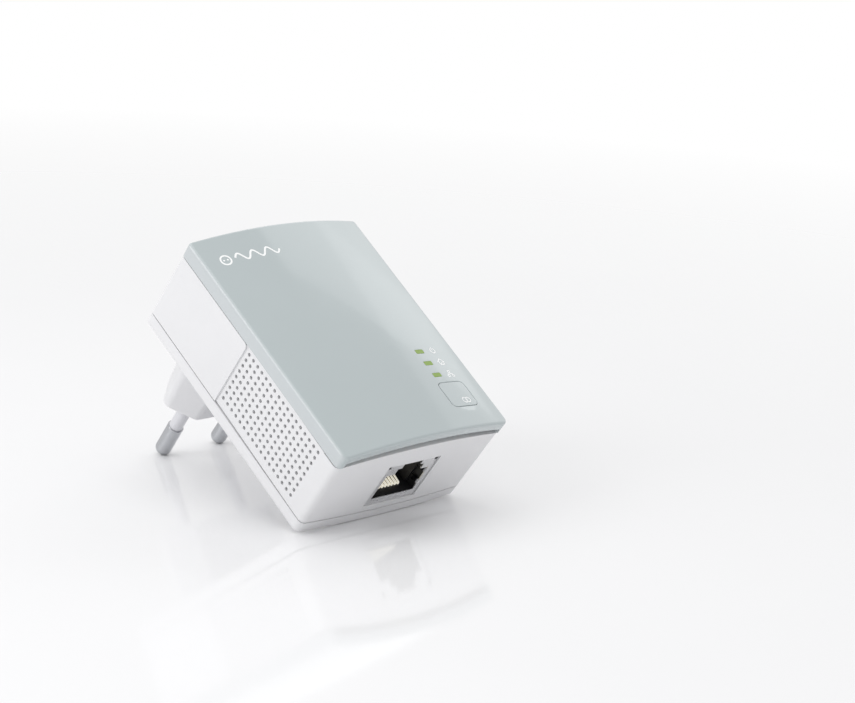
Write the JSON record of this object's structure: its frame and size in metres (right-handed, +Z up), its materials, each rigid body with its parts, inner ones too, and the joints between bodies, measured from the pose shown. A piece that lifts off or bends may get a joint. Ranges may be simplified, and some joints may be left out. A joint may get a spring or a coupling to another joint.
{
  "type": "powerline adapter",
  "caption": "Powerline network adapter with a two-pin mains plug on its back, a bowed front cover with a push button and status windows, vented sides and a network socket below.",
  "frame": {"origin": "centre of the plug's end face, where it seats in the mains socket, midway between the pins", "axes": "+Y along the pins into the wall, +Z up the wall, +X to the right seen from the front; the front cover faces -Y and the network socket opens towards -Z"},
  "size_m": [0.0518, 0.0655, 0.0654],
  "materials": {
    "grey_cover": "glossy light grey-green moulding",
    "white_shell": "fine satin white moulding",
    "clear_window": "clear light guide, lit green",
    "nickel_pin": "nickel-plated brass, softly polished",
    "tinned_shield": "tin-plated steel sheet",
    "gold_contact": "gold-plated spring wire",
    "black_insulator": "black moulding",
    "screw_steel": "zinc-plated steel",
    "blank_label": "blank satin label",
    "green_board": "green solder resist",
    "chip_black": "epoxy package",
    "thermal_grey": "soft silicone pad",
    "heat_sink_metal": "anodised aluminium",
    "can_metal": "sleeved aluminium can",
    "led_white": "light chip, lit green",
    "insulation_film": "thin insulating film",
    "ferrite": "sintered ferrite",
    "copper_wire": "enamelled copper wire",
    "yellow_box": "boxed film capacitor",
    "blue_disc": "dipped disc",
    "bobbin_plastic": "glass-filled moulding"
  },
  "bodies": {
    "case": {"back_cover": "white_shell", "board_screws": "screw_steel", "bridge_rectifier": "chip_black", "bulk_capacitors": "can_metal", "case_screws": "screw_steel", "coupling_bobbin": "bobbin_plastic", "coupling_capacitor": "yellow_box", "coupling_winding": "copper_wire", "crystal": "can_metal", "ethernet_phy": "chip_black", "ethernet_transformer": "chip_black", "flash_chip": "chip_black", "front_cover": "grey_cover", "fuse": "chip_black", "heat_sink": "heat_sink_metal", "insulating_sheet": "insulation_film", "jack_contacts": "gold_contact", "jack_insulator": "black_insulator", "jack_shield": "tinned_shield", "left_mains_pin": "nickel_pin", "left_pin_sleeve": "white_shell", "light_guide": "clear_window", "line_choke_core": "ferrite", "line_choke_windings": "copper_wire", "line_driver_chip": "chip_black", "link_header": "chip_black", "link_pins": "gold_contact", "link_socket": "chip_black", "main_board": "green_board", "main_housing": "white_shell", "mains_filter_capacitor": "yellow_box", "memory_chip": "chip_black", "optocoupler": "bobbin_plastic", "output_capacitor": "can_metal", "output_diode": "chip_black", "power_board": "green_board", "power_controller_chip": "chip_black", "power_inductors": "ferrite", "powerline_chip": "chip_black", "rating_label": "blank_label", "right_mains_pin": "nickel_pin", "right_pin_sleeve": "white_shell", "safety_capacitor": "blue_disc", "status_leds": "led_white", "surge_varistor": "blue_disc", "switch_base": "chip_black", "switch_cover": "tinned_shield", "thermal_pad": "thermal_grey", "transformer_bobbin": "bobbin_plastic", "transformer_core": "ferrite", "transformer_winding": "yellow_box"},
    "button": {"pair_button": "grey_cover"},
    "plunger": {"switch_plunger": "chip_black"}
  },
  "joints": [
    {"name": "button_press", "type": "slide", "parent": "case", "child": "button", "axis": [0, 1, 0], "range_m": [0, 0.0004], "stiffness_N_per_m": 2500, "springref_m": -0.0004},
    {"name": "plunger_press", "type": "slide", "parent": "case", "child": "plunger", "axis": [0, 1, 0], "range_m": [0, 0.0004]}
  ],
  "couplings": [
    {"joint": "plunger_press", "follows": "button_press", "ratio": 1}
  ]
}
